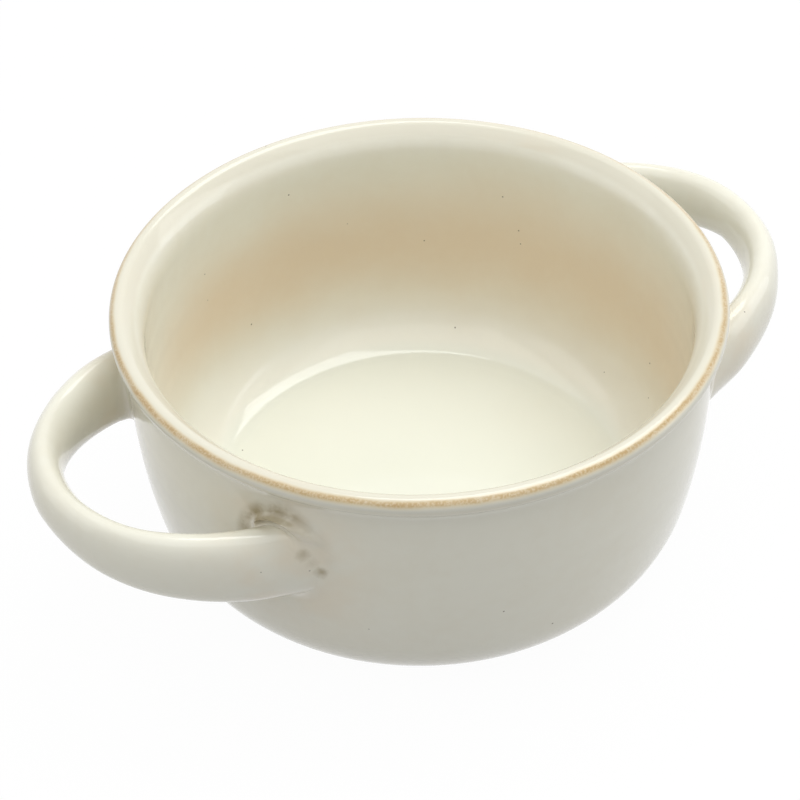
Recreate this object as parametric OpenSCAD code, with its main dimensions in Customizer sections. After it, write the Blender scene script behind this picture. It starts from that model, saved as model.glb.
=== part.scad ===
// Two-handled stoneware onion soup crock.
// A thrown bowl with a rolled lip and a trimmed foot ring carries two D-shaped
// loop handles. Each handle end is cut to a saddle that lies on the wall, and a
// fillet of clay is worked round the joint.
// The origin is the centre of the foot on the table, the handles lie along X.

/* [Bowl] */
// Outer diameter over the rolled lip
rim_d = 140; // [125:1:160]
// Overall height from the table to the top of the lip
bowl_h = 70; // [64:1:80]
// How far the lip stands out beyond the widest part of the wall
lip_stand = 2.6; // [1.6:0.1:4]
// Depth of the widest part of the wall below the top of the lip
belly_depth = 19; // [16:1:24]
// Radius of the upright curve of the wall
wall_curve_r = 165; // [130:5:300]
// Radius where the wall turns under to the foot
base_round_r = 22.5; // [18:0.5:27]
// Thickness of the wall
wall_t = 4.6; // [3.5:0.1:6]
// Thickness of the floor over the foot ring
floor_t = 7; // [5.5:0.1:8.5]
// Radius inside, where the wall turns into the floor
floor_round_r = 19; // [14:0.5:22]
// Radius of the tighter edge round the flat middle of the floor
floor_edge_r = 4; // [2:0.5:8]

/* [Lip] */
// Radius of the rolled bead of the lip
lip_r = 2.3; // [1.8:0.1:2.8]
// Depth below the top at which the wall starts to turn out to the lip
lip_turn = 9; // [7:0.5:12]

/* [Foot] */
// Height of the foot ring under the base
foot_h = 1.8; // [1:0.1:3]
// Outer diameter of the foot ring
foot_d = 84; // [76:1:92]
// Width of the foot ring
foot_w = 5.5; // [4:0.5:8]
// Depth of the trimmed hollow inside the foot ring
foot_hollow = 1.6; // [0.8:0.1:2.4]
// Radius that breaks the corners of the foot ring
foot_round_r = 0.6; // [0.3:0.1:0.9]

/* [Handles] */
// How far a handle reaches out beyond the lip
handle_reach = 26.4; // [22:0.5:34]
// Radius of the round end of the loop, along the middle of the clay
loop_r = 31.6; // [26:0.2:36]
// How far each leg spreads sideways on its way to the wall
leg_spread = 7.2; // [3:0.2:9]
// Depth of the loop's end below the top of the lip, at the middle of the clay
loop_depth = 18.6; // [14:0.2:22]
// How much lower the handle meets the wall than the end of the loop lies
leg_drop = 7.2; // [3:0.2:9]
// Thickness of the handle across the loop, at its end
grip_w = 8.2; // [7:0.2:12]
// Height of the handle at the end of the loop
grip_h = 13.2; // [10:0.2:17]
// Thickness of the handle across the loop, at the wall
root_w = 12.4; // [10:0.2:16]
// Height of the handle at the wall
root_h = 20; // [16:0.2:24]

/* [Joint fillets] */
// How far the clay fillet spreads along the wall
fillet_spread = 3; // [2:0.1:4.5]
// How far the clay fillet climbs along the handle
fillet_climb = 3.4; // [2.5:0.1:5]
// Thickness of the fillet where it fades out on the handle and the wall
fillet_edge = 0.3; // [0.2:0.1:0.6]

/* [Quality] */
// Segments in a full turn of the bowl
bowl_segments = 360; // [240:24:480]
// Sides of the handle's section
handle_sides = 24; // [16:4:32]
// Rings along half a handle
handle_rings = 24; // [20:2:36]

/* [Hidden] */

cream_glaze = [0.87, 0.86, 0.79];
grey_cream_glaze = [0.83, 0.82, 0.75];
joint_glaze = [0.80, 0.77, 0.67];
// Overrun of every cut past the face that it opens
over = 1;

// Bowl outline: radii from the axis, heights from the table
rim_r = rim_d / 2;
belly_r = rim_r - lip_stand;
belly_z = bowl_h - belly_depth;
curve_x = belly_r - wall_curve_r;
base_z = foot_h + base_round_r;
base_x = curve_x + level_run(wall_curve_r - base_round_r, base_z - belly_z);
turn_z = bowl_h - lip_turn;
lip_x = rim_r - lip_r;
lip_z = bowl_h - lip_r;
foot_r = foot_d / 2;
// Straight steps that each curve of the outline is drawn in
edge_steps = 5;
round_steps = 16;
wall_steps = 16;
lip_steps = 8;
bead_steps = 20;
corner_segments = 32;

// The inner faces follow the outer ones a wall's thickness further in
inner_curve_r = wall_curve_r - wall_t;
floor_z = foot_h + floor_t;
// How far the floor's edge has turned up where the larger round takes over
floor_edge_angle = 27;
edge_to_round = floor_round_r - floor_edge_r;
floor_edge_z = floor_z + floor_edge_r;
floor_round_z = floor_edge_z + edge_to_round * cos(floor_edge_angle);
floor_round_x = curve_x + level_run(inner_curve_r - floor_round_r, floor_round_z - belly_z);
floor_edge_x = floor_round_x + edge_to_round * sin(floor_edge_angle);

// Handle outline, seen from above: a half circle with two legs into the wall
grip_x = rim_r + handle_reach - grip_w / 2;
loop_x = grip_x - loop_r;
loop_arc = loop_r * PI / 2;
leg_end_x = sqrt(pow(belly_r - wall_t, 2) - pow(loop_r + leg_spread + root_w / 2, 2));
half_length = loop_arc + loop_x - leg_end_x;
// Share of the half length that the fillet stays clear of
leg_start_share = 0.4;
// Rings of the fillet's hollow curve
fillet_steps = 6;
// The leg's drop and spread grow faster towards the wall with these powers
leg_drop_power = 1.2;
leg_spread_power = 3;

// Level side of a right triangle: from an arc's centre to the arc, or to a touching arc's centre
function level_run(slant, rise) = sqrt(slant * slant - rise * rise);

// Outer radius of the upright wall at a height
function wall_r(z) = curve_x + level_run(wall_curve_r, z - belly_z);

// Point of a cubic curve through two ends with two handles
function curve_point(p, t) = pow(1 - t, 3) * p[0] + 3 * t * pow(1 - t, 2) * p[1]
    + 3 * t * t * (1 - t) * p[2] + pow(t, 3) * p[3];

// Points of an arc, from one angle to another
function arc_points(centre, r, from, to, steps) =
    [for (i = [0:steps])
        let (angle = from + (to - from) * i / steps)
        centre + r * [cos(angle), sin(angle)]];

// One side of the wall from the bottom up: a base round that runs smoothly into the upright arc
function wall_side(upright_r, round_r, round_x, round_z, from = -90) =
    let (
        meet = atan2(round_z - belly_z, round_x - curve_x),
        top = asin((turn_z - belly_z) / upright_r)
    )
    concat(arc_points([round_x, round_z], round_r, from, meet, round_steps),
           arc_points([curve_x, belly_z], upright_r, meet + (top - meet) / wall_steps, top,
                      wall_steps - 1));

outer_side = wall_side(wall_curve_r, base_round_r, base_x, base_z);
inner_round = wall_side(inner_curve_r, floor_round_r, floor_round_x, floor_round_z,
                        floor_edge_angle - 90);
floor_edge = arc_points([floor_edge_x, floor_edge_z], floor_edge_r, -90,
                        floor_edge_angle - 90 - floor_edge_angle / edge_steps, edge_steps - 1);
inner_side = concat(floor_edge, inner_round);

// The lip flares from each side of the wall to the bead in a curve that runs on smoothly
lip_under_angle = 50;
lip_outer_dir = [cos(lip_under_angle), -sin(lip_under_angle)];
lip_inner_angle = 132;
lip_inner_dir = [cos(lip_inner_angle), sin(lip_inner_angle)];
lip_pull_share = 0.42;

function lip_side(side, bead_dir, way) =
    let (
        start = side[len(side) - 1],
        up = (start - side[len(side) - 2]) / norm(start - side[len(side) - 2]),
        bead = [lip_x, lip_z] + lip_r * bead_dir,
        bead_run = way * [-bead_dir[1], bead_dir[0]],
        pull = lip_pull_share * norm(bead - start),
        p = [start, start + pull * up, bead - pull * bead_run, bead]
    )
    [for (i = [1:lip_steps]) curve_point(p, i / lip_steps)];

function backwards(points) = [for (i = [len(points) - 1:-1:0]) points[i]];

// The whole wall in one outline: up the outside, over the lip and down the inside to the floor
module wall_outline() {
    bead = arc_points([lip_x, lip_z], lip_r, -lip_under_angle, lip_inner_angle, bead_steps);
    polygon(concat([[0, foot_h]], outer_side, lip_side(outer_side, lip_outer_dir, 1),
                   [for (i = [1:bead_steps - 1]) bead[i]],
                   backwards(lip_side(inner_side, lip_inner_dir, -1)), backwards(inner_side),
                   [[0, floor_z]]));
}

// The foot ring's two lower corners are broken by small quarter rounds
module foot_outline() {
    ring_in = foot_r - foot_w;
    ring_top = foot_h + foot_hollow;
    for (x = [ring_in + foot_round_r, foot_r - foot_round_r])
        translate([x, foot_round_r])
            circle(r = foot_round_r, $fn = corner_segments);
    translate([ring_in + foot_round_r, 0])
        square([foot_w - 2 * foot_round_r, ring_top]);
    translate([ring_in, foot_round_r])
        square([foot_w, ring_top - foot_round_r]);
}

module bowl_outline() {
    difference() {
        wall_outline();
        translate([0, -over])
            square([foot_r - foot_w, foot_h + foot_hollow + over]);
    }
    foot_outline();
}

module bowl() {
    color(cream_glaze)
        rotate_extrude($fn = bowl_segments)
            bowl_outline();
}

// Filled core of the wall: what a handle end and its fillet are cut back to
module wall_core() {
    rotate_extrude($fn = bowl_segments)
        polygon(concat([[0, turn_z], [0, foot_h]], outer_side));
}

// Half of a handle, from the end of the loop at share 0 to inside the wall at share 1
function along(share) = share * half_length;
function on_arc(share) = min(along(share), loop_arc) / loop_r * 180 / PI;
function in_leg(share) = max(along(share) - loop_arc, 0);
function run_x(share) = loop_x + loop_r * cos(on_arc(share)) - in_leg(share);
function run_y(share) = loop_r * sin(on_arc(share)) + leg_spread * pow(share, leg_spread_power);
function run_z(share) = bowl_h - loop_depth - leg_drop * pow(share, leg_drop_power);
function run_point(share) = [run_x(share), run_y(share), run_z(share)];

// Direction across the loop, level and square to the run
function run_across(share) =
    let (
        step_share = 0.002,
        d = run_point(share + step_share) - run_point(share - step_share),
        flat = norm([d[0], d[1]])
    )
    [d[1], -d[0], 0] / flat;

function half_w(share) = (grip_w + (root_w - grip_w) * share * share) / 2;
function half_h(share) = (grip_h + (root_h - grip_h) * sin(90 * share)) / 2;

// A point of the handle's skin, or of a skin that is grown outwards
function skin_point(share, turn, grow) =
    run_point(share)
    + (half_w(share) + grow) * cos(turn) * run_across(share)
    + [0, 0, (half_h(share) + grow) * sin(turn)];

function mirrored(p) = [p[0], -p[1], p[2]];

// Distance of a skin point outside the wall
function off_wall(p) = norm([p[0], p[1]]) - wall_r(p[2]);

// Share of the half length at which one line along the skin is a distance off the wall
function share_off_wall(turn, distance, low = 0, high = 1, halvings = 16) =
    let (mid = (low + high) / 2)
    halvings == 0 ? mid
    : off_wall(skin_point(mid, turn, 0)) > distance
        ? share_off_wall(turn, distance, mid, high, halvings - 1)
        : share_off_wall(turn, distance, low, mid, halvings - 1);

// A point moved square to the axis until it is a distance off the wall
function to_wall(p, distance) =
    let (r = wall_r(p[2]) + distance, flat = norm([p[0], p[1]]))
    [p[0] * r / flat, p[1] * r / flat, p[2]];

// Where the fillet ends on the wall: away from the leg, along the wall
function fillet_foot(turn, distance) =
    let (
        share = share_off_wall(turn, 0),
        p = skin_point(share, turn, 0),
        out = cos(turn) * run_across(share) + [0, 0, sin(turn)],
        wall_dir = [p[0], p[1], 0] / norm([p[0], p[1]]),
        along_wall = out - (out * wall_dir) * wall_dir
    )
    to_wall(p + fillet_spread * along_wall / norm(along_wall), distance);

// One ring of the fillet's hollow curve, from the handle at 0 to the wall at 1
function fillet_ring(t) =
    [for (j = [0:handle_sides - 1])
        let (
            turn = 360 * j / handle_sides,
            top = skin_point(share_off_wall(turn, fillet_climb), turn, fillet_edge),
            corner = skin_point(share_off_wall(turn, 0), turn, fillet_edge),
            foot_point = fillet_foot(turn, fillet_edge)
        )
        (1 - t) * (1 - t) * top + 2 * t * (1 - t) * corner + t * t * foot_point];

function total(points, i = 0) = i == len(points) - 1 ? points[i] : points[i] + total(points, i + 1);
function mean_point(points) = total(points) / len(points);

// Closed skin through rings of points, each end closed by a fan round its middle
module tube(rings) {
    n = len(rings);
    sides = len(rings[0]);
    last = (n - 1) * sides;
    middles = [mean_point(rings[0]), mean_point(rings[n - 1])];
    skin = [for (i = [0:n - 2], j = [0:sides - 1])
        let (a = i * sides + j, b = i * sides + (j + 1) % sides)
        each [[a, b + sides, b], [a, a + sides, b + sides]]];
    fans = [for (j = [0:sides - 1])
        let (k = (j + 1) % sides)
        each [[n * sides, j, k], [n * sides + 1, last + k, last + j]]];
    polyhedron(points = concat([for (r = rings) each r], middles), faces = concat(skin, fans),
               convexity = 6);
}

function ring(share) =
    [for (j = [0:handle_sides - 1]) skin_point(share, 360 * j / handle_sides, 0)];

function mirrored_ring(points) = [for (p = points) mirrored(p)];

module whole_handle_skin() {
    back = [for (i = [handle_rings:-1:1]) ring(i / handle_rings)];
    front = [for (i = [0:handle_rings]) mirrored_ring(ring(i / handle_rings))];
    tube(concat(back, front));
}

// The part of the skin near one wall joint, for cutting the fillet open
module leg_skin() {
    first = floor(leg_start_share * handle_rings);
    tube([for (i = [handle_rings:-1:first]) ring(i / handle_rings)]);
}

module handle() {
    color(grey_cream_glaze)
        difference() {
            whole_handle_skin();
            wall_core();
        }
}

module joint_fillet() {
    hidden_end = [for (p = fillet_ring(1)) to_wall(p, -wall_t / 2)];
    color(joint_glaze)
        difference() {
            tube(concat([hidden_end],
                        [for (i = [fillet_steps:-1:0]) fillet_ring(i / fillet_steps)]));
            leg_skin();
            wall_core();
        }
}

module right_handle() {
    handle();
}

module left_handle() {
    rotate([0, 0, 180])
        handle();
}

module right_back_joint_fillet() {
    joint_fillet();
}

module right_front_joint_fillet() {
    mirror([0, 1, 0])
        joint_fillet();
}

module left_back_joint_fillet() {
    mirror([1, 0, 0])
        joint_fillet();
}

module left_front_joint_fillet() {
    rotate([0, 0, 180])
        joint_fillet();
}

bowl();
left_handle();
right_handle();
left_front_joint_fillet();
left_back_joint_fillet();
right_front_joint_fillet();
right_back_joint_fillet();
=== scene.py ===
import math
from functools import reduce

import bpy
from mathutils import Euler, Matrix, Vector


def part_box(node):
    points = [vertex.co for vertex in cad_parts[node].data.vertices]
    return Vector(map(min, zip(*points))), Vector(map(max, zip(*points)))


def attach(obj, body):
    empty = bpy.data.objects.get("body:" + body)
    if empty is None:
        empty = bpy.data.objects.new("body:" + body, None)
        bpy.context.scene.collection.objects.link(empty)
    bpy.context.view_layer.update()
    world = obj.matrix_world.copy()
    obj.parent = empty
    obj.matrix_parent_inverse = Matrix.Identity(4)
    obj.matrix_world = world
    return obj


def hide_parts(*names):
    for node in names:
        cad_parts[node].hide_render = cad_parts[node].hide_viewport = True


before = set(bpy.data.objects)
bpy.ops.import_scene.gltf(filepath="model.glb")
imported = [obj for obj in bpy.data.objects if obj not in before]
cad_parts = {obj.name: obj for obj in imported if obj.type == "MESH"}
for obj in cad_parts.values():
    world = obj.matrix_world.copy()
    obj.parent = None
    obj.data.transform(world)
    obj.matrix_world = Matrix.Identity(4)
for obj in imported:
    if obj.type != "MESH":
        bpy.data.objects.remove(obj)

# A two-handled stoneware soup crock: thrown bowl, pulled handles, luted joints, cream glaze.

bl_info = {
    "name": "Onion Soup Crock",
    "version": (1, 0, 0),
    "blender": (4, 5, 0),
    "location": "View3D > Sidebar > Crock",
    "description": "Throws, handles and glazes a two-handled stoneware soup crock",
    "category": "Add Mesh",
}

MM = 0.001
SAME_POINT = 0.002 * MM
SMOOTH_BELOW = math.radians(50)
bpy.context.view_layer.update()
bowl_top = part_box("bowl")[1]
handle_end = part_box("right_handle")[1]


# Sizes and colours that a user would change


def length(name, description, default):
    """A length, written in millimetres and kept in metres."""
    return bpy.props.FloatProperty(
        name=name, description=description, default=default * MM, precision=5, unit="LENGTH"
    )


def angle(name, description, default):
    """An angle, written in degrees and kept in radians."""
    return bpy.props.FloatProperty(
        name=name, description=description, default=math.radians(default), subtype="ANGLE"
    )


def count(name, description, default):
    return bpy.props.IntProperty(name=name, description=description, default=default, min=3)


def share(name, description, default):
    return bpy.props.FloatProperty(
        name=name, description=description, default=default, min=0.0, max=1.0, subtype="FACTOR"
    )


def level(name, description, default):
    return bpy.props.FloatProperty(name=name, description=description, default=default, min=0.0)


def colour(name, description, default):
    return bpy.props.FloatVectorProperty(
        name=name, description=description, default=default, min=0.0, max=1.0, size=3,
        subtype="COLOR",
    )


class CrockBowlSizes(bpy.types.PropertyGroup):
    """The thrown bowl's section."""

    rim_radius: length("Rim radius", "Outer radius of the rolled lip", bowl_top.y / MM)
    height: length("Height", "From the table to the top of the lip", bowl_top.z / MM)
    lip_stand: length("Lip stand", "How far the lip stands out beyond the wall", 2.6)
    belly_depth: length("Belly depth", "Depth of the wall's widest part below the lip's top", 19)
    wall_curve: length("Wall curve", "Radius of the upright curve of the wall", 165)
    base_round: length("Base round", "Radius where the wall turns under to the foot", 22.5)
    wall: length("Wall", "Thickness of the wall", 4.6)
    floor: length("Floor", "Thickness of the floor over the foot ring", 7)
    floor_edge: length("Floor edge", "Radius of the tighter edge round the flat floor", 9)
    floor_edge_turn: angle("Floor edge turn", "How far that edge turns up", 27)
    floor_round: length("Floor round", "Radius inside, where the wall turns into the floor", 17.5)
    lip_radius: length("Lip radius", "Radius of the rolled bead of the lip", 2.3)
    lip_turn: length("Lip turn", "Depth at which the wall starts to turn out to the lip", 9)
    lip_under: angle("Lip underside", "How far round its underside the bead is free", 50)
    lip_inside: angle("Lip inside", "How far over its top the bead is free", 132)
    foot_height: length("Foot height", "Height of the foot ring under the base", 1.8)
    foot_radius: length("Foot radius", "Outer radius of the foot ring", 42)
    foot_width: length("Foot width", "Width of the foot ring", 5.5)
    foot_hollow: length("Foot hollow", "Depth of the trimmed hollow inside the foot ring", 1.6)
    foot_round: length("Foot round", "Radius that breaks the corners of the foot ring", 0.6)
    hollow_round: length("Hollow round", "Radius left in the corner of the hollow", 1)
    ripple_depth: length("Throwing ripple", "Depth of the rings that fingers leave", 0.015)
    ripple_pitch: length("Ripple pitch", "Distance between two throwing rings", 6.5)
    unevenness: length("Unevenness", "How far the hand-thrown wall wanders", 0.22)
    spin_steps: count("Spin steps", "Steps in one turn of the wheel", 288)


class CrockHandleSizes(bpy.types.PropertyGroup):
    """The pulled loop handles."""

    end_x: length("End", "Distance of the loop's end from the axis", handle_end.x / MM)
    loop_radius: length("Loop radius", "Radius of the loop's round end, along the middle", 31.6)
    leg_spread: length("Leg spread", "How far each leg spreads on its way to the wall", 7.2)
    loop_depth: length("Loop depth", "Depth of the loop's end below the lip's top", 18.6)
    leg_drop: length("Leg drop", "How much lower the handle meets the wall", 7.2)
    grip_width: length("Grip width", "Thickness across the loop at its end", 8.2)
    grip_height: length("Grip height", "Height at the end of the loop", 13.2)
    root_width: length("Root width", "Thickness across the loop at the wall", 12.4)
    root_height: length("Root height", "Height at the wall", 20)
    seat_depth: length("Seat depth", "How deep each end is set into the wall", 0.5)
    unevenness: length("Unevenness", "How far the pulled clay wanders", 0.45)
    sides: count("Sides", "Points round the section", 56)
    rings: count("Rings", "Sections along half a handle", 36)


class CrockJointSizes(bpy.types.PropertyGroup):
    """The clay worked round each handle end."""

    spread: length("Spread", "How far the clay spreads along the wall", 3.2)
    climb: length("Climb", "How far the clay climbs along the handle", 3.6)
    tuck: length("Tuck", "How far its feathered edges dive under the surface", 0.15)
    dive: length("Dive", "Over what length they dive", 1.3)
    hidden_depth: length("Hidden depth", "How deep the clay goes into the joint", 0.9)
    lay_out: length("Lay-out distance", "How far off the wall the clay is laid out first", 16)
    bead: length("Bead", "How far the roll of clay over the front left joint stands out", 1.9)
    crease: length("Crease", "How deep the crease under that roll is", 0.9)
    sides: count("Sides", "Points round the joint", 96)
    rings: count("Rings", "Rings across the hollow curve", 12)


class CrockGlaze(bpy.types.PropertyGroup):
    """Colours and gloss of the fired glaze."""

    cream: colour("Cream", "Thick glaze", (0.815, 0.795, 0.685))
    shade: colour("Shade", "Glaze where it lies a little thinner", (0.785, 0.75, 0.625))
    # Tan glaze with painted shade: the band also darkens the inner walls where less light falls
    tan: colour("Tan", "Soft band inside the wall", (0.735, 0.605, 0.435))
    bottom: colour("Bottom", "Thick glaze on the floor inside", (0.79, 0.80, 0.705))
    # A paler colour in the round above the floor, fading out up the wall
    milky: colour("Milky", "Thick glaze in the round above the floor", (0.85, 0.835, 0.735))
    blush: colour("Blush", "Thin warm glaze round the joints", (0.80, 0.67, 0.49))
    lip_brown: colour("Lip brown", "Where the glaze breaks on the lip", (0.46, 0.29, 0.11))
    lip_cream: colour("Lip cream", "Thin glaze on the lip", (0.72, 0.685, 0.565))
    lip_ochre: colour("Lip ochre", "Thin glaze beside the break", (0.66, 0.53, 0.31))
    # Painted shade: a grey band on the bead's outer face, below the break
    pool: colour("Pool", "Glaze pooled under the lip", (0.64, 0.655, 0.63))
    stain: colour("Stain", "Smoky brown in the joints", (0.37, 0.30, 0.165))
    speck: colour("Speck", "Iron specks", (0.10, 0.075, 0.05))
    bare_clay: colour("Bare clay", "Unglazed foot ring", (0.52, 0.42, 0.31))
    gloss: share("Gloss roughness", "Roughness of the glassy surface", 0.055)


class CrockStage(bpy.types.PropertyGroup):
    """Camera, lights and floor."""

    aim: bpy.props.FloatVectorProperty(
        name="Aim", description="What the camera looks at", size=3, subtype="TRANSLATION",
        unit="LENGTH", default=(-4.1 * MM, 2.5 * MM, 36.8 * MM),
    )
    distance: length("Distance", "Camera distance", 518.6)
    azimuth: angle("Azimuth", "How far the camera stands to the right of the front", -31.9)
    elevation: angle("Elevation", "How far the camera looks down", 41.46)
    roll: angle("Roll", "Camera roll", -1.52)
    focal_length: level("Focal length", "In millimetres, on a 36 mm wide picture", 99)
    overhead: level("Overhead light", "Brightness of the overhead softbox, white paper is 1", 0.95)
    key: level("Key light", "Brightness of the smaller overhead softbox, white paper is 1", 3.4)
    side: level("Side light", "Brightness of the side softbox, white paper is 1", 1.25)
    left: level("Left light", "Brightness of the left softbox, white paper is 1", 0.57)
    room: level("Room light", "Brightness of the room, white paper is 1", 0.385)
    floor_size: length("Floor", "Width of the floor", 6000)


# The bowl's section


def level_run(slant, rise):
    """Level side of a right triangle."""
    return math.sqrt(slant * slant - rise * rise)


def at(radius, height):
    """A point of the section."""
    return Vector((radius, 0.0, height))


def arc(centre, radius, start, end, steps, ripple=None):
    """Points of an arc after its first one, with ripples square to it."""
    points = []
    for step in range(1, steps + 1):
        turn = start + (end - start) * step / steps
        reach = radius + (ripple(radius * turn, step / steps) if ripple else 0.0)
        points.append(centre + reach * at(math.cos(turn), math.sin(turn)))
    return points


def curve(points, steps):
    """Points of a cubic curve after its first one."""
    a, b, c, d = points
    shares = [step / steps for step in range(1, steps + 1)]
    return [
        (1 - t) ** 3 * a + 3 * t * (1 - t) ** 2 * b + 3 * t * t * (1 - t) * c + t ** 3 * d
        for t in shares
    ]


DOWN, LEVEL, UP = -math.pi / 2, 0.0, math.pi / 2


class BowlSection:
    """The outline of the bowl's wall, from its sizes."""

    edge_steps = 8
    round_steps = 18
    wall_steps = 44
    flare_steps = 9
    bead_steps = 26
    corner_steps = 5
    floor_steps = 14
    flare_pull = 0.42

    def __init__(self, sizes):
        self.sizes = s = sizes
        self.belly_r = s.rim_radius - s.lip_stand
        self.belly_z = s.height - s.belly_depth
        self.curve_x = self.belly_r - s.wall_curve
        self.turn_z = s.height - s.lip_turn
        self.bead = at(s.rim_radius - s.lip_radius, s.height - s.lip_radius)
        self.base_z = s.foot_height + s.base_round
        self.base_x = self.round_x(s.wall_curve, s.base_round, self.base_z)
        self.floor_z = s.foot_height + s.floor
        self.inner_curve = s.wall_curve - s.wall
        edge_to_round = s.floor_round - s.floor_edge
        self.round_z = self.floor_z + s.floor_edge + edge_to_round * math.cos(s.floor_edge_turn)
        self.round_centre_x = self.round_x(self.inner_curve, s.floor_round, self.round_z)
        self.edge_x = self.round_centre_x + edge_to_round * math.sin(s.floor_edge_turn)

    def round_x(self, upright, radius, height):
        """Where a round that touches the upright curve from inside has its centre."""
        return self.curve_x + level_run(upright - radius, height - self.belly_z)

    def radius(self, height):
        """Outer radius of the upright wall."""
        return self.curve_x + level_run(self.sizes.wall_curve, height - self.belly_z)

    def ripple(self, run, share_along):
        """Throwing rings that fade out at both ends of the wall."""
        fade = math.sin(math.pi * share_along)
        turn = math.tau * run / self.sizes.ripple_pitch
        return -self.sizes.ripple_depth * fade * (1 + math.sin(turn) + 0.4 * math.sin(1.7 * turn))

    def side(self, upright, radius, centre, start, ripple):
        """One side of the wall, from its round's start up to the lip's turn."""
        belly = at(self.curve_x, self.belly_z)
        meet = math.atan2(centre.z - belly.z, centre.x - belly.x)
        top = math.asin((self.turn_z - belly.z) / upright)
        return arc(centre, radius, start, meet, self.round_steps) + arc(
            belly, upright, meet, top, self.wall_steps, ripple
        )

    def outer_side(self):
        s = self.sizes
        centre = at(self.base_x, self.base_z)
        return self.side(s.wall_curve, s.base_round, centre, DOWN, self.ripple)

    def inner_side(self):
        s = self.sizes
        edge_centre = at(self.edge_x, self.floor_z + s.floor_edge)
        turned_up = DOWN + s.floor_edge_turn
        edge = arc(edge_centre, s.floor_edge, DOWN, turned_up, self.edge_steps)
        centre = at(self.round_centre_x, self.round_z)
        outward = lambda run, share_along: -self.ripple(run, share_along)
        return edge + self.side(self.inner_curve, s.floor_round, centre, turned_up, outward)

    def flare(self, side, bead_dir, way):
        """The smooth turn from one side of the wall to the bead."""
        start = side[-1]
        up = (side[-1] - side[-2]).normalized()
        touch = self.bead + self.sizes.lip_radius * bead_dir
        bead_run = way * at(-bead_dir.z, bead_dir.x)
        pull = self.flare_pull * (touch - start).length
        return curve([start, start + pull * up, touch - pull * bead_run, touch], self.flare_steps)

    def foot(self):
        """From the middle of the underside to the base, round the foot ring."""
        s, steps = self.sizes, self.corner_steps
        inner = s.foot_radius - s.foot_width
        hollow_z = s.foot_height + s.foot_hollow
        ledge = self.base_x - s.foot_radius
        hollow_r, r = s.hollow_round, s.foot_round
        hollow = [at((inner - hollow_r) * i / self.floor_steps, hollow_z)
                  for i in range(self.floor_steps + 1)]
        return (
            hollow
            + arc(at(inner - hollow_r, hollow_z - hollow_r), hollow_r, UP, LEVEL, steps)
            + [at(inner, r)]
            + arc(at(inner + r, r), r, -math.pi, DOWN, steps)
            + [at(s.foot_radius - r, 0.0)]
            + arc(at(s.foot_radius - r, r), r, DOWN, LEVEL, steps)
            + [at(s.foot_radius, s.foot_height - ledge)]
            + arc(at(self.base_x, s.foot_height - ledge), ledge, math.pi, UP, steps)
        )

    def outline(self):
        """The whole section, from the middle of the underside to the middle of the floor."""
        under = self.sizes.lip_under
        outer, inner = self.outer_side(), self.inner_side()
        inner_dir = at(math.cos(self.sizes.lip_inside), math.sin(self.sizes.lip_inside))
        inner_flare = self.flare(inner, inner_dir, -1)
        floor = [at(self.edge_x * (1 - i / self.floor_steps), self.floor_z)
                 for i in range(self.floor_steps + 1)]
        return (
            self.foot()
            + outer
            + self.flare(outer, at(math.cos(under), -math.sin(under)), 1)
            + arc(self.bead, self.sizes.lip_radius, -under, self.sizes.lip_inside, self.bead_steps)
            + inner_flare[-2::-1]
            + inner[::-1]
            + floor
        )

    def core(self, depth):
        """The filled space inside the outer face, less a depth."""
        outer = [at(p.x - depth, p.z) for p in self.outer_side()]
        return [at(0.0, outer[0].z)] + outer + [at(0.0, outer[-1].z)]


# The handles' run, and where they meet the wall


class HandleRun:
    """One handle's run, from its back leg at -1 round the loop's end at 0 to its front leg at 1."""

    leg_drop_power = 1.2
    leg_spread_power = 3
    probe = 0.002
    halvings = 24

    def __init__(self, sizes, section, side):
        self.sizes = s = sizes
        self.section = section
        self.side = side
        self.loop_x = s.end_x - s.grip_width / 2 - s.loop_radius
        self.loop_arc = s.loop_radius * math.pi / 2
        inner_r = section.belly_r - section.sizes.wall
        reach_y = s.loop_radius + s.leg_spread + s.root_width / 2
        self.half_length = self.loop_arc + self.loop_x - level_run(inner_r, reach_y)

    def point(self, place):
        """The middle of the clay at a place along the run."""
        s, share_along, leg = self.sizes, abs(place), math.copysign(1.0, place)
        along = share_along * self.half_length
        turn = min(along, self.loop_arc) / s.loop_radius
        in_leg = max(along - self.loop_arc, 0.0)
        spread = s.leg_spread * share_along ** self.leg_spread_power
        drop = s.leg_drop * share_along ** self.leg_drop_power
        x = self.loop_x + s.loop_radius * math.cos(turn) - in_leg
        y = s.loop_radius * math.sin(turn) + spread
        z = self.section.sizes.height - s.loop_depth - drop
        return Vector((self.side * x, -self.side * leg * y, z))

    def heading(self, place):
        """The level direction of the run, towards its front end."""
        ahead = self.point(place + self.probe) - self.point(place - self.probe)
        return Vector((ahead.x, ahead.y, 0.0)).normalized()

    def half_sizes(self, place):
        """Half the width and half the height of the section."""
        s, share_along = self.sizes, abs(place)
        width = s.grip_width + (s.root_width - s.grip_width) * share_along ** 2
        ease = math.sin(math.pi / 2 * share_along)
        return width / 2, (s.grip_height + (s.root_height - s.grip_height) * ease) / 2

    def meeting(self, leg):
        """Where along the run the middle of a leg meets the wall."""
        clear, inside = 0.5, 1.0
        for _ in range(self.halvings):
            middle = (clear + inside) / 2
            p = self.point(leg * middle)
            if math.hypot(p.x, p.y) > self.section.radius(p.z):
                clear = middle
            else:
                inside = middle
        return leg * middle


def joint_name(side, leg):
    """Name of the joint where a leg of the handle on a side meets the wall."""
    return ("right" if side > 0 else "left") + ("_front" if leg > 0 else "_back")


def stood_up(heading):
    """Turn that stands a level circle up across a heading."""
    return Euler((math.pi / 2, 0.0, math.atan2(-heading.x, heading.y)))


# Modelling steps that the pieces share


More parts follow.
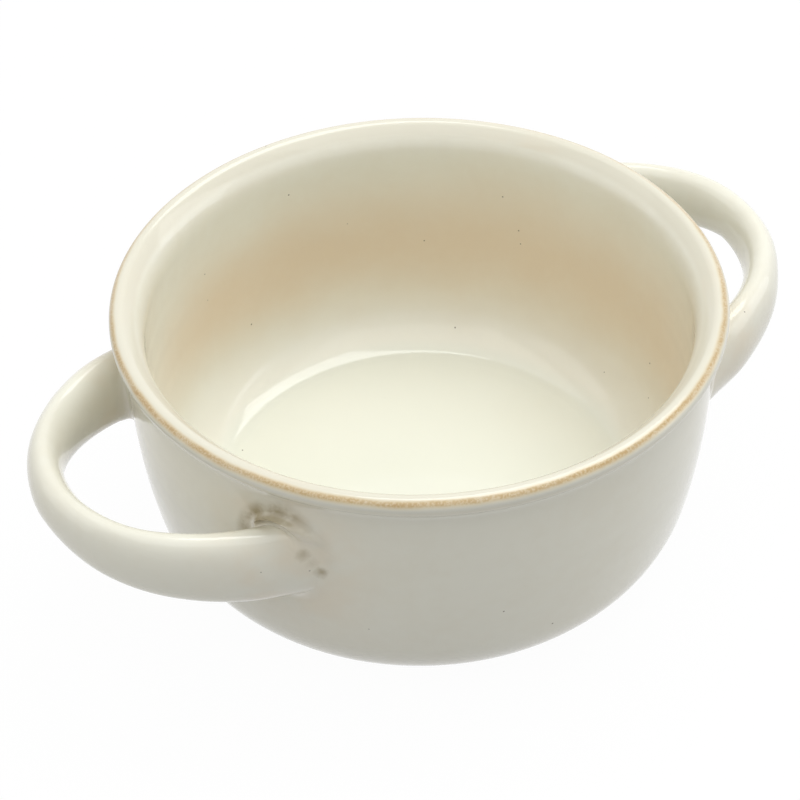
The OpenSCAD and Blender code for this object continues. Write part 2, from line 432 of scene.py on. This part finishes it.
def start_piece():
    """Nothing is being edited, and nothing is selected."""
    if bpy.context.mode != "OBJECT":
        bpy.ops.object.mode_set(mode="OBJECT")
    bpy.ops.object.select_all(action="DESELECT")


def pick_piece(piece):
    start_piece()
    piece.select_set(True)
    bpy.context.view_layer.objects.active = piece


def named(name):
    piece = bpy.context.object
    piece.name = name
    if piece.data:
        piece.data.name = name
    return piece


def settle_place():
    bpy.ops.object.transform_apply(location=True, rotation=True, scale=True)


def edit():
    bpy.ops.object.mode_set(mode="EDIT")
    bpy.ops.mesh.select_mode(type="VERT")


def leave_edit():
    bpy.ops.object.mode_set(mode="OBJECT")


def new_piece(name, turn=(0.0, 0.0, 0.0)):
    """An empty piece, turned and ready for editing."""
    start_piece()
    bpy.ops.object.add(type="MESH", rotation=turn)
    piece = named(name)
    edit()
    return piece


def close_up():
    """Merges doubled points and turns every face outwards."""
    bpy.ops.mesh.select_all(action="SELECT")
    bpy.ops.mesh.remove_doubles(threshold=SAME_POINT)
    bpy.ops.mesh.normals_make_consistent(inside=False)


def spun(name, points, steps):
    """A solid of revolution: a line drawn point by point, then spun round the axis."""
    start_piece()
    bpy.ops.mesh.primitive_circle_add(vertices=3, radius=MM, location=points[0])
    settle_place()
    piece = named(name)
    edit()
    bpy.ops.mesh.select_all(action="SELECT")
    bpy.ops.mesh.merge(type="CENTER")
    for here, there in zip(points, points[1:]):
        bpy.ops.mesh.extrude_vertices_move(TRANSFORM_OT_translate={"value": there - here})
    bpy.ops.mesh.select_all(action="SELECT")
    bpy.ops.mesh.spin(steps=steps, angle=math.tau, center=(0, 0, 0), axis=(0, 0, 1))
    close_up()
    leave_edit()
    return piece


def select_rings(piece, sides, rings):
    """Selects rings of points by the order in which they were laid."""
    edit()
    bpy.ops.mesh.select_all(action="DESELECT")
    leave_edit()
    for vertex in piece.data.vertices:
        vertex.select = vertex.index // sides in rings
    edit()


def lay_ring(sides, centre, turn, half_width, half_height):
    """Adds an upright oval of points to the piece being edited."""
    bpy.ops.mesh.primitive_circle_add(
        vertices=sides, radius=half_width, location=centre, rotation=turn
    )
    taller = (1.0, 1.0, half_height / half_width)
    bpy.ops.transform.resize(value=taller, orient_type="GLOBAL", center_override=centre)


def bridge(piece, sides, pairs):
    """Skins a tube between pairs of its rings."""
    for pair in pairs:
        select_rings(piece, sides, pair)
        bpy.ops.mesh.bridge_edge_loops()


def apply_modifier(piece, kind, **settings):
    """Adds a modifier, sets it and applies it."""
    pick_piece(piece)
    bpy.ops.object.modifier_add(type=kind)
    modifier = piece.modifiers[-1]
    for setting, value in settings.items():
        setattr(modifier, setting, value)
    bpy.ops.object.modifier_apply(modifier=modifier.name)


def weigh(piece, weight):
    """A vertex group whose weights come from each point's number and place."""
    group = piece.vertex_groups.new(name="share")
    for vertex in piece.data.vertices:
        group.add([vertex.index], max(0.0, min(1.0, weight(vertex.index, vertex.co))), "REPLACE")
    return group.name


def push(piece, depth, weight, **settings):
    """Moves the surface out by a depth, or in by one below 0, where a weight allows it."""
    apply_modifier(piece, "DISPLACE", strength=depth, vertex_group=weigh(piece, weight), **settings)
    piece.vertex_groups.clear()


def make_uneven(piece, depth, spacing, weight):
    """Lets a hand-made surface sink by up to a depth in soft patches."""
    patches = bpy.data.textures.new(piece.name + "_patches", "CLOUDS")
    patches.noise_scale = spacing
    patches.noise_depth = 0
    push(piece, depth, weight, texture=patches, texture_coords="LOCAL", mid_level=1.0)


def between(value, low, high):
    """0 below low, 1 above high, and a smooth step between them."""
    t = max(0.0, min(1.0, (value - low) / (high - low)))
    return t * t * (3 - 2 * t)


def finish_piece(piece, node, glaze):
    """Smooth shading, glaze, and the piece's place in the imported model."""
    pick_piece(piece)
    bpy.ops.object.shade_smooth_by_angle(angle=SMOOTH_BELOW)
    piece.data.materials.clear()
    piece.data.materials.append(glaze)
    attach(piece, "root")
    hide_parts(node)


# Shader trees


class Value:
    """A socket in a shader tree. An expression on values adds Math nodes."""

    def __init__(self, tree, socket):
        self.tree = tree
        self.socket = socket

    def math(self, operation, *terms):
        return self.tree.node("ShaderNodeMath", {"operation": operation}, dict(enumerate(terms)))

    def __add__(self, other):
        return self.math("ADD", self, other)

    def __sub__(self, other):
        return self.math("SUBTRACT", self, other)

    def __rsub__(self, other):
        return self.math("SUBTRACT", other, self)

    def __mul__(self, other):
        return self.math("MULTIPLY", self, other)

    def __abs__(self):
        return self.math("ABSOLUTE", self)

    __radd__ = __add__
    __rmul__ = __mul__

    def root(self):
        return self.math("SQRT", self.most(0.0))

    def least(self, other):
        return self.math("MINIMUM", self, other)

    def most(self, other):
        return self.math("MAXIMUM", self, other)

    def rise(self, low, high):
        """0 at low, 1 at high, and a smooth step between them."""
        return self.tree.node(
            "ShaderNodeMapRange",
            {"interpolation_type": "SMOOTHSTEP"},
            {"Value": self, "From Min": low, "From Max": high},
        )

    def hill(self, middle, width):
        """1 at the middle, falling smoothly to 0 a width away on both sides."""
        return 1 - abs(self - middle).rise(0.0, width)


def opaque(rgb):
    return (*rgb, 1.0)


class ShaderTree:
    """The nodes of a material or of the world."""

    def __init__(self, owner):
        owner.use_nodes = True
        self.nodes = owner.node_tree.nodes
        self.links = owner.node_tree.links
        self.nodes.clear()

    def node(self, kind, settings=None, sockets=None, output=0):
        """Adds a node: its type, its settings, the values or links of its sockets, its output."""
        node = self.nodes.new(kind)
        for setting, value in (settings or {}).items():
            setattr(node, setting, value)
        for key, value in (sockets or {}).items():
            if isinstance(value, Value):
                self.links.new(value.socket, node.inputs[key])
            else:
                node.inputs[key].default_value = value
        return Value(self, node.outputs[output]) if node.outputs else None

    def paint(self, below, above, cover):
        """One colour over another, where the cover says."""
        factor, first, second, result = 0, 6, 7, 2
        sockets = {factor: cover, first: below, second: above}
        return self.node("ShaderNodeMix", {"data_type": "RGBA"}, sockets, output=result)

    def blend(self, cover, below, above):
        """One shader over another, where the cover says."""
        return self.node("ShaderNodeMixShader", None, {0: cover, 1: below, 2: above})

    def seen(self):
        """1 where the camera looks, directly or by way of a reflection or glass."""
        camera, glossy, glass = (
            self.node("ShaderNodeLightPath", output=ray)
            for ray in ("Is Camera Ray", "Is Glossy Ray", "Is Transmission Ray")
        )
        return camera.most(glossy).most(glass)


# Each pattern in the glaze: size of its patches in millimetres, detail, and a seed of its own
PATTERNS = {
    "drift": (26.0, 3.0, 11.0),
    "mottle": (3.2, 4.0, 37.0),
    "blush": (10.0, 3.0, 41.0),
    "smoke": (4.0, 3.0, 5.0),
    "stroke_edge": (1.6, 2.0, 53.0),
    "band_edge": (20.0, 3.0, 3.0),
    "band_cloud": (13.0, 5.0, 71.0),
    "band_grain": (2.5, 3.0, 7.0),
    "break_edge": (7.0, 3.0, 19.0),
    "break_grain": (0.5, 3.0, 23.0),
    "break_patch": (9.0, 3.0, 29.0),
    "gloss": (6.0, 3.0, 61.0),
    "glaze_line": (2.5, 2.0, 53.0),
    "skin": (2.4, 3.0, 83.0),
}


class GlazeTree(ShaderTree):
    """A glaze's nodes, with places in millimetres on the crock."""

    def __init__(self, name):
        self.material = bpy.data.materials.new(name)
        super().__init__(self.material)
        metres = self.node("ShaderNodeTexCoord", output="Object")
        to_mm = {"Vector": metres, "Scale": 1 / MM}
        self.place = self.node("ShaderNodeVectorMath", {"operation": "SCALE"}, to_mm)
        self.x, self.y, self.z = (
            self.node("ShaderNodeSeparateXYZ", None, {"Vector": self.place}, output=axis)
            for axis in "XYZ"
        )
        self.r = (self.x * self.x + self.y * self.y).root()

    def noise(self, pattern):
        """Soft noise from 0 to 1, in one of the patterns."""
        size, detail, seed = PATTERNS[pattern]
        offset = {0: self.place, 1: (seed, -seed, seed)}
        moved = self.node("ShaderNodeVectorMath", {"operation": "ADD"}, offset)
        grain = {"Vector": moved, "Scale": 1 / size, "Detail": detail}
        return self.node("ShaderNodeTexNoise", None, grain)

    def distance(self, point):
        """Distance from a point, in millimetres."""
        ends = {0: self.place, 1: tuple(point / MM)}
        return self.node("ShaderNodeVectorMath", {"operation": "DISTANCE"}, ends, output="Value")


# The glaze


class Glazing:
    """Mixes the glazes, from what they need to know about the crock."""

    # Lengths here are in millimetres, and a pair says where something starts and where it is full.
    # Smoke in a ring round each joint, how dark each is, and where across and up it the ring fades
    ring_radius, ring_width, ring_squash = 10.4, 3.0, 0.6
    ring_depths = {"left_front": 0.95, "left_back": 0.2, "right_front": 0.4, "right_back": 0.3}
    ring_outer, ring_front = (-8.0, 4.0), (1.0, 6.5)
    ring_above, ring_off_wall = (-7.0, 9.0), (1.5, 4.5)
    blush_fade, blush_depth = (9.0, 24.0), 0.4
    # Brown strokes at the left front joint: place from its middle, and how dark
    strokes = (((1.5, -5.3, 4.6), 0.5), ((3.0, -6.5, 2.2), 0.2), ((4.6, -7.2, -0.7), 0.75))
    stroke_radius, stroke_wobble = 2.3, 1.6
    # Heights of the tan band's two edges and middle, how they wander and lean, and the side where
    # its painted shade is strongest
    band_low, band_middle, band_high, band_wander, band_lean = 11.0, 36.0, 65.0, 8.0, 0.1
    band_side, band_reach = (0.82, 0.57), (-54.0, 21.0)
    # Heights between which the paler colour of the round and the thick glaze of the floor end
    milky_heights, floor_heights = (14.0, 32.0), (9.0, 11.5)
    # Where the break lies, along the bead from its outer face, and where the painted shade on the
    # bead lies from there
    break_place, break_wander, pool_place, pool_width = 2.15, 0.7, -1.7, 0.7
    # Height at which the glaze ends on the foot, and how rough the clay is
    glaze_line, clay_roughness = (0.35, 0.6), 0.6
    speck_cells, speck_depth = 0.4, 0.8
    skin_strength, skin_depth = 0.35, 0.05

    def __init__(self, scene):
        self.colours = scene.crock_glaze
        self.section = BowlSection(scene.crock_bowl)
        self.joints = {}
        for side in (1, -1):
            run = HandleRun(scene.crock_handle, self.section, side)
            for leg in (1, -1):
                joint = joint_name(side, side * leg)
                self.joints[joint] = run.point(run.meeting(leg))

    def base(self, t):
        """Cream glaze with soft drifts where it lies thinner."""
        c = self.colours
        thin = (0.65 * t.noise("drift") + 0.35 * t.noise("mottle")).rise(0.38, 0.66)
        return t.paint(opaque(c.cream), opaque(c.shade), thin * 0.55)

    def joint_ring(self, t, joint):
        """How dark the smoke round a joint is, and how near the joint is."""
        middle = self.joints[joint]
        side, front, height = t.x - middle.x / MM, t.y - middle.y / MM, t.z - middle.z / MM
        away = (side * side + front * front + height * height * self.ring_squash).root()
        outer_end = (side * math.copysign(1.0, middle.x)).rise(*self.ring_outer)
        front_end = (front * math.copysign(1.0, middle.y)).rise(*self.ring_front)
        ends = (0.35 + 0.65 * outer_end) * (1 - 0.65 * front_end)
        above = height.rise(*self.ring_above)
        ring = away.hill(self.ring_radius, self.ring_width) * above * ends
        return ring * self.ring_depths[joint], 1 - away.rise(*self.blush_fade)

    def joint_stains(self, t, colour_so_far, on_bowl):
        """A warm blush round the joints, and smoky brown above and beside them."""
        rings = [self.joint_ring(t, joint) for joint in self.joints]
        smoke, near = (reduce(Value.most, layer) for layer in zip(*rings))
        if on_bowl:
            outside = 1 - self.inside(t)
            smoke, near = smoke * outside, near * outside
        warm = near * t.noise("blush").rise(0.3, 0.7) * self.blush_depth
        blushed = t.paint(colour_so_far, opaque(self.colours.blush), warm)
        on_wall = 1 - (t.r - self.section.belly_r / MM).rise(*self.ring_off_wall)
        stain = smoke * (0.35 + 0.65 * t.noise("smoke").rise(0.32, 0.6)) * on_wall
        wobble = (t.noise("stroke_edge") - 0.5) * self.stroke_wobble
        for offset, depth in self.strokes:
            place = self.joints["left_front"] + Vector(offset) * MM
            stroke = 1 - (t.distance(place) + wobble).rise(0.0, self.stroke_radius)
            stain = stain.most(stroke * depth)
        return t.paint(blushed, opaque(self.colours.stain), stain)

    def specks(self, t, colour_so_far):
        """A few iron specks."""
        cells = {"Vector": t.place, "Scale": self.speck_cells}
        near = t.node("ShaderNodeTexVoronoi", None, cells, output="Distance")
        chance = t.node("ShaderNodeTexVoronoi", None, cells, output="Color")
        chance = t.node("ShaderNodeSeparateColor", None, {"Color": chance}, output="Red")
        dot = (1 - near.rise(0.06, 0.11)) * chance.rise(0.97, 0.975)
        return t.paint(colour_so_far, opaque(self.colours.speck), dot * self.speck_depth)

    def inside(self, t):
        """1 on the faces inside the bowl, 0 outside."""
        s, section = self.section.sizes, self.section
        mid_round = (s.base_round + s.floor_round) / 2 / MM
        out = (t.r - section.base_x / MM).most(0.0)
        up = (t.z - section.base_z / MM).least(0.0)
        in_round = mid_round - (out * out + up * up).root()
        middle = (s.wall_curve - s.wall / 2) / MM
        rise = t.z - section.belly_z / MM
        wall_middle = section.curve_x / MM + (middle * middle - rise * rise).root()
        in_wall = (t.z - section.base_z / MM).least(wall_middle - t.r)
        return in_round.most(in_wall).rise(-0.3, 0.3)

    def tan_band(self, t, colour_so_far):
        """The soft tan band inside the wall, tan glaze with painted shade, palest at the left; the
        paler round above the floor; and the paler thick floor.
        """
        c, inside = self.colours, self.inside(t)
        height = t.z + (t.noise("band_edge") - 0.5) * self.band_wander
        # Painted shade: the band's edges lean with x, and its top with y, so it reaches higher up
        # the right wall
        lean = t.x * self.band_lean
        lower = height.rise(self.band_low - lean, self.band_middle)
        upper = 1 - height.rise(self.band_middle, lean - t.y * 0.03 + self.band_high)
        # Painted shade: the band deepens towards the right and back walls and fades at the left
        to_side = t.x * self.band_side[0] + t.y * self.band_side[1]
        facing = to_side.rise(*self.band_reach)
        mottle = 0.8 + 0.25 * t.noise("band_cloud") + 0.12 * t.noise("band_grain")
        in_round, on_floor = 1 - t.z.rise(*self.milky_heights), 1 - t.z.rise(*self.floor_heights)
        milky = t.paint(colour_so_far, opaque(c.milky), in_round * inside)
        thick = t.paint(milky, opaque(c.bottom), on_floor * inside)
        return t.paint(thick, opaque(c.tan), lower * upper * facing * mottle * inside)

    def lip_break(self, t, colour_so_far):
        """Ochre brown where the glaze runs thin over the lip, and a grey painted shade under it."""
        c = self.colours
        bead, radius = self.section.bead / MM, self.section.sizes.lip_radius / MM
        out, up = t.r - bead.x, t.z - bead.z
        run = out.math("ARCTAN2", up, out) * radius
        on_bead = 1 - (out * out + up * up).root().rise(radius + 0.5, radius + 1.6)
        wander = (t.noise("break_edge") - 0.5) * self.break_wander
        from_break = run - self.break_place - t.x * 0.004 - wander
        grain = t.noise("break_grain")
        front = (t.y * -0.55 - t.x * 0.3).rise(-48.0, 20.0) * 0.7 + 0.3
        wide = (1 - abs(from_break).rise(0.35, 1.35)) * (0.8 + 0.2 * grain)
        core = (1 - abs(from_break).rise(0.1, 0.9)) * (0.35 + 0.65 * grain.rise(0.36, 0.6))
        thin = on_bead * front * (0.7 + 0.3 * t.noise("break_patch").rise(0.30, 0.62))
        # Painted shade: a grey band lower on the bead's outer face
        pooled = from_break.hill(self.pool_place, self.pool_width) * on_bead
        thinner = t.paint(colour_so_far, opaque(c.lip_cream), on_bead * 0.8)
        ochre = t.paint(thinner, opaque(c.lip_ochre), wide * thin * 0.95)
        brown = t.paint(ochre, opaque(c.lip_brown), core * thin * 0.8)
        return t.paint(brown, opaque(c.pool), pooled * 0.3)

    def mix(self, name, on_bowl):
        """A glossy cream glaze. On the bowl it also breaks on the lip and leaves the foot bare."""
        t = GlazeTree(name)
        colour_here = self.base(t)
        roughness = self.colours.gloss + 0.05 * t.noise("gloss")
        if on_bowl:
            colour_here = self.tan_band(t, colour_here)
            colour_here = self.lip_break(t, colour_here)
        colour_here = self.joint_stains(t, colour_here, on_bowl)
        colour_here = self.specks(t, colour_here)
        if on_bowl:
            bare = 1 - (t.z - t.noise("glaze_line") * 0.5).rise(*self.glaze_line)
            colour_here = t.paint(colour_here, opaque(self.colours.bare_clay), bare)
            roughness = roughness + self.clay_roughness * bare
        skin = {"Strength": self.skin_strength, "Distance": self.skin_depth * MM}
        bump = t.node("ShaderNodeBump", None, {"Height": t.noise("skin"), **skin})
        glassy = {"Base Color": colour_here, "Roughness": roughness, "Normal": bump, "IOR": 1.5}
        t.node("ShaderNodeOutputMaterial", None,
               {"Surface": t.node("ShaderNodeBsdfPrincipled", None, glassy)})
        return t.material


def glaze(name, on_bowl=False):
    """The named glaze, mixed once."""
    return bpy.data.materials.get(name) or Glazing(bpy.context.scene).mix(name, on_bowl)


# Operators: one for each group of like pieces, and one for the stage


class CROCK_OT_throw_bowl(bpy.types.Operator):
    """Throw the bowl: wall, floor, rolled lip and foot ring"""

    bl_idname = "crock.throw_bowl"
    bl_label = "Throw the bowl"

    def execute(self, context):
        sizes = context.scene.crock_bowl
        section = BowlSection(sizes)
        bowl = spun("crock_bowl", section.outline(), sizes.spin_steps)
        from_foot, full, patch, lip_trueness = 3 * MM, 15 * MM, 26 * MM, 0.6

        def soft(index, place):
            near_lip = between(place.z, section.turn_z, section.bead.z)
            return between(place.z, from_foot, full) * (1 - lip_trueness * near_lip)

        make_uneven(bowl, sizes.unevenness, patch, soft)
        finish_piece(bowl, "bowl", glaze("cream_glaze_on_bowl", on_bowl=True))
        return {"FINISHED"}


class CROCK_OT_pull_handles(bpy.types.Operator):
    """Pull the two loop handles and cut their ends to the wall"""

    bl_idname = "crock.pull_handles"
    bl_label = "Pull the handles"

    def pull(self, sizes, section):
        """The right handle, from its back end round to its front end."""
        run = HandleRun(sizes, section, 1)
        places = [i / sizes.rings for i in range(-sizes.rings, sizes.rings + 1)]
        handle = new_piece("crock_right_handle")
        for place in places:
            turn = stood_up(run.heading(place))
            lay_ring(sizes.sides, run.point(place), turn, *run.half_sizes(place))
        bridge(handle, sizes.sides, [(i, i + 1) for i in range(len(places) - 1)])
        for end in (0, len(places) - 1):
            select_rings(handle, sizes.sides, (end,))
            bpy.ops.mesh.edge_face_add()
        close_up()
        leave_edit()
        return handle

    def cut_to_wall(self, handle, section, depth):
        """Cuts both ends to the saddle that lies on the wall."""
        core = spun("wall_core", section.core(depth), section.sizes.spin_steps)
        apply_modifier(handle, "BOOLEAN", operation="DIFFERENCE", object=core, solver="EXACT")
        bpy.data.objects.remove(core)

    def execute(self, context):
        scene = context.scene
        sizes, section = scene.crock_handle, BowlSection(scene.crock_bowl)
        right = self.pull(sizes, section)
        self.cut_to_wall(right, section, sizes.seat_depth)
        pick_piece(right)
        bpy.ops.object.duplicate(linked=False)
        left = named("crock_left_handle")
        left.rotation_euler.z = math.pi
        settle_place()
        near, clear, patch = 7 * MM, 16 * MM, 14 * MM

        def soft(index, place):
            return between(math.hypot(place.x, place.y) - section.belly_r, near, clear)

        for handle, node in ((right, "right_handle"), (left, "left_handle")):
            make_uneven(handle, sizes.unevenness, patch, soft)
            finish_piece(handle, node, glaze("cream_glaze_on_handles"))
        return {"FINISHED"}


class CROCK_OT_lute_joints(bpy.types.Operator):
    """Work a fillet of clay round each of the four handle ends"""

    bl_idname = "crock.lute_joints"
    bl_label = "Lute the joints"

    def rings(self, sizes):
        """How far out along the wall, and how far up off it, each ring of clay lies."""
        shares = [i / sizes.rings for i in range(sizes.rings + 1)]
        hollow = [(sizes.spread * t * t, sizes.climb * (1 - t) ** 2) for t in shares]
        deep = sizes.hidden_depth
        feathered_top = (-sizes.tuck, sizes.climb + sizes.dive)
        feathered_foot = (sizes.spread + sizes.dive, -sizes.tuck)
        hidden = [(sizes.spread, -deep), (-deep, -deep), (-deep, sizes.climb)]
        return [feathered_top, *hollow, feathered_foot, *hidden]

    def lute(self, name, sizes, run, leg, wall):
        """One fillet: laid out flat across the leg, pressed to the wall, and drawn up its curve."""
        meeting = run.meeting(leg)
        into_wall = leg * run.heading(meeting)
        turn = stood_up(into_wall)
        rings = self.rings(sizes)
        fillet = new_piece(name, turn)
        for out, up in rings:
            place = leg * (abs(meeting) - up / run.half_length)
            centre = run.point(place) - sizes.lay_out * into_wall
            half_width, half_height = run.half_sizes(place)
            lay_ring(sizes.sides, centre, turn, half_width + out, half_height + out)
        apply_modifier(
            fillet, "SHRINKWRAP", wrap_method="PROJECT", use_project_z=True,
            use_negative_direction=True, use_positive_direction=False, target=wall,
        )
        settle_place()
        for number, (out, up) in enumerate(rings):
            select_rings(fillet, sizes.sides, (number,))
            bpy.ops.transform.translate(value=-up * into_wall)
        last = len(rings) - 1
        bridge(fillet, sizes.sides, [(i, i + 1) for i in range(last)] + [(last, 0)])
        close_up()
        leave_edit()
        return fillet

    def roll_bead(self, fillet, sizes, joint):
        """The roll of clay left over a joint, with a crease between it and the handle."""
        from_height, full_height = joint.z + 6 * MM, joint.z + 10.5 * MM
        # Middle and half width, as shares of the clay from the handle to the wall
        roll, crease = (0.62, 0.4, sizes.bead), (0.2, 0.25, -sizes.crease)
        for middle, half_width, depth in (roll, crease):

            def over_joint(index, place):
                across = (index // sizes.sides / sizes.rings - middle) / half_width
                return between(place.z, from_height, full_height) * max(0.0, 1 - across * across)

            push(fillet, depth, over_joint, mid_level=0.0)

    def execute(self, context):
        scene = context.scene
        sizes, section = scene.crock_joint, BowlSection(scene.crock_bowl)
        wall = bpy.data.objects["crock_bowl"]
        for side in (-1, 1):
            run = HandleRun(scene.crock_handle, section, side)
            for leg in (1, -1):
                joint = joint_name(side, side * leg)
                node = joint + "_joint_fillet"
                fillet = self.lute("crock_" + node, sizes, run, leg, wall)
                if joint == "left_front":
                    self.roll_bead(fillet, sizes, run.point(run.meeting(leg)))
                finish_piece(fillet, node, glaze("cream_glaze_in_joints"))
        return {"FINISHED"}


# Each softbox: its direction to the right, away and up as the camera sees it, distance, width, tint
SOFTBOXES = {
    "key": ((0.27, 0.33, 1.0), 1.3, 0.84, (0.985, 1.0, 1.01)),
    "overhead": ((0.0, -0.15, 1.0), 1.3, 1.8, (0.985, 1.0, 1.0)),
    "side": ((0.93, 0.15, 0.33), 1.4, 0.9, (0.96, 0.97, 1.0)),
    "left": ((-0.9, -0.1, 0.45), 1.5, 1.2, (1.0, 0.99, 0.96)),
}


def grey(brightness):
    return opaque((brightness, brightness, brightness))


class CROCK_OT_set_stage(bpy.types.Operator):
    """Set the floor, the room light, the softboxes and the camera"""

    bl_idname = "crock.set_stage"
    bl_label = "Set the stage"

    floor_grey, floor_white, floor_glow = 0.5, 0.95, 0.97

    def light_room(self, scene, brightness):
        """An even pale room, which the camera sees as white."""
        scene.world = bpy.data.worlds.new("studio")
        tree = ShaderTree(scene.world)
        plain, white = (
            tree.node("ShaderNodeBackground", None, {"Color": grey(1.0), "Strength": strength})
            for strength in (brightness, 1.0)
        )
        tree.node("ShaderNodeOutputWorld", None, {"Surface": tree.blend(tree.seen(), plain, white)})

    def lay_floor(self, size):
        """A pale floor, nearly white to the camera, which keeps a soft shadow."""
        start_piece()
        bpy.ops.mesh.primitive_plane_add(size=size)
        floor = named("studio_floor")
        paper = bpy.data.materials.new("white_paper")
        tree = ShaderTree(paper)
        pale, white = (
            tree.node("ShaderNodeBsdfDiffuse", None, {"Color": grey(brightness)})
            for brightness in (self.floor_grey, self.floor_white)
        )
        glow = tree.blend(self.floor_glow, white, tree.node("ShaderNodeEmission"))
        surface = tree.blend(tree.seen(), pale, glow)
        tree.node("ShaderNodeOutputMaterial", None, {"Surface": surface})
        floor.data.materials.append(paper)

    def hang_softbox(self, name, direction, distance, width, brightness, tint):
        """A square light that looks as bright as given, in a direction seen from the crock."""
        start_piece()
        towards = direction.normalized()
        turn = towards.to_track_quat("Z", "Y").to_euler()
        bpy.ops.object.light_add(type="AREA", location=distance * towards, rotation=turn)
        box = named(name)
        box.data.shape = "SQUARE"
        box.data.size = width
        box.data.energy = brightness * math.pi * width * width
        box.data.color = tint

    def aim_camera(self, scene, stage):
        a, e = stage.azimuth, stage.elevation
        back = Vector((math.sin(a) * math.cos(e), -math.cos(a) * math.cos(e), math.sin(e)))
        turned = back.to_track_quat("Z", "Y").to_matrix() @ Matrix.Rotation(stage.roll, 3, "Z")
        start_piece()
        bpy.ops.object.camera_add(
            location=Vector(stage.aim) + stage.distance * back, rotation=turned.to_euler()
        )
        camera = named("photo_camera")
        camera.data.lens = stage.focal_length
        camera.data.sensor_width = 36.0
        scene.camera = camera

    def execute(self, context):
        scene = context.scene
        stage = scene.crock_stage
        self.lay_floor(stage.floor_size)
        self.light_room(scene, stage.room)
        for name, (direction, distance, width, tint) in SOFTBOXES.items():
            turned = Matrix.Rotation(stage.azimuth, 3, "Z") @ Vector(direction)
            brightness = getattr(stage, name)
            self.hang_softbox(name + "_softbox", turned, distance, width, brightness, tint)
        self.aim_camera(scene, stage)
        scene.view_settings.view_transform = "Standard"
        return {"FINISHED"}


class CROCK_PT_panel(bpy.types.Panel):
    """Lists the crock's steps, sizes and colours"""

    bl_label = "Onion soup crock"
    bl_idname = "CROCK_PT_panel"
    bl_space_type = "VIEW_3D"
    bl_region_type = "UI"
    bl_category = "Crock"

    def draw(self, context):
        for operator in OPERATORS:
            self.layout.operator(operator.bl_idname)
        for group_name, group in GROUPS.items():
            box = self.layout.box()
            for setting in group.__annotations__:
                box.prop(getattr(context.scene, group_name), setting)


GROUPS = {
    "crock_bowl": CrockBowlSizes,
    "crock_handle": CrockHandleSizes,
    "crock_joint": CrockJointSizes,
    "crock_glaze": CrockGlaze,
    "crock_stage": CrockStage,
}
OPERATORS = (CROCK_OT_throw_bowl, CROCK_OT_pull_handles, CROCK_OT_lute_joints, CROCK_OT_set_stage)


def register():
    for cls in (*GROUPS.values(), *OPERATORS, CROCK_PT_panel):
        bpy.utils.register_class(cls)
    for group_name, group in GROUPS.items():
        setattr(bpy.types.Scene, group_name, bpy.props.PointerProperty(type=group))


def unregister():
    for group_name in GROUPS:
        delattr(bpy.types.Scene, group_name)
    for cls in (CROCK_PT_panel, *OPERATORS, *GROUPS.values()):
        bpy.utils.unregister_class(cls)


def main():
    register()
    bpy.ops.crock.throw_bowl()
    bpy.ops.crock.pull_handles()
    bpy.ops.crock.lute_joints()
    bpy.ops.crock.set_stage()


if __name__ == "__main__":
    main()
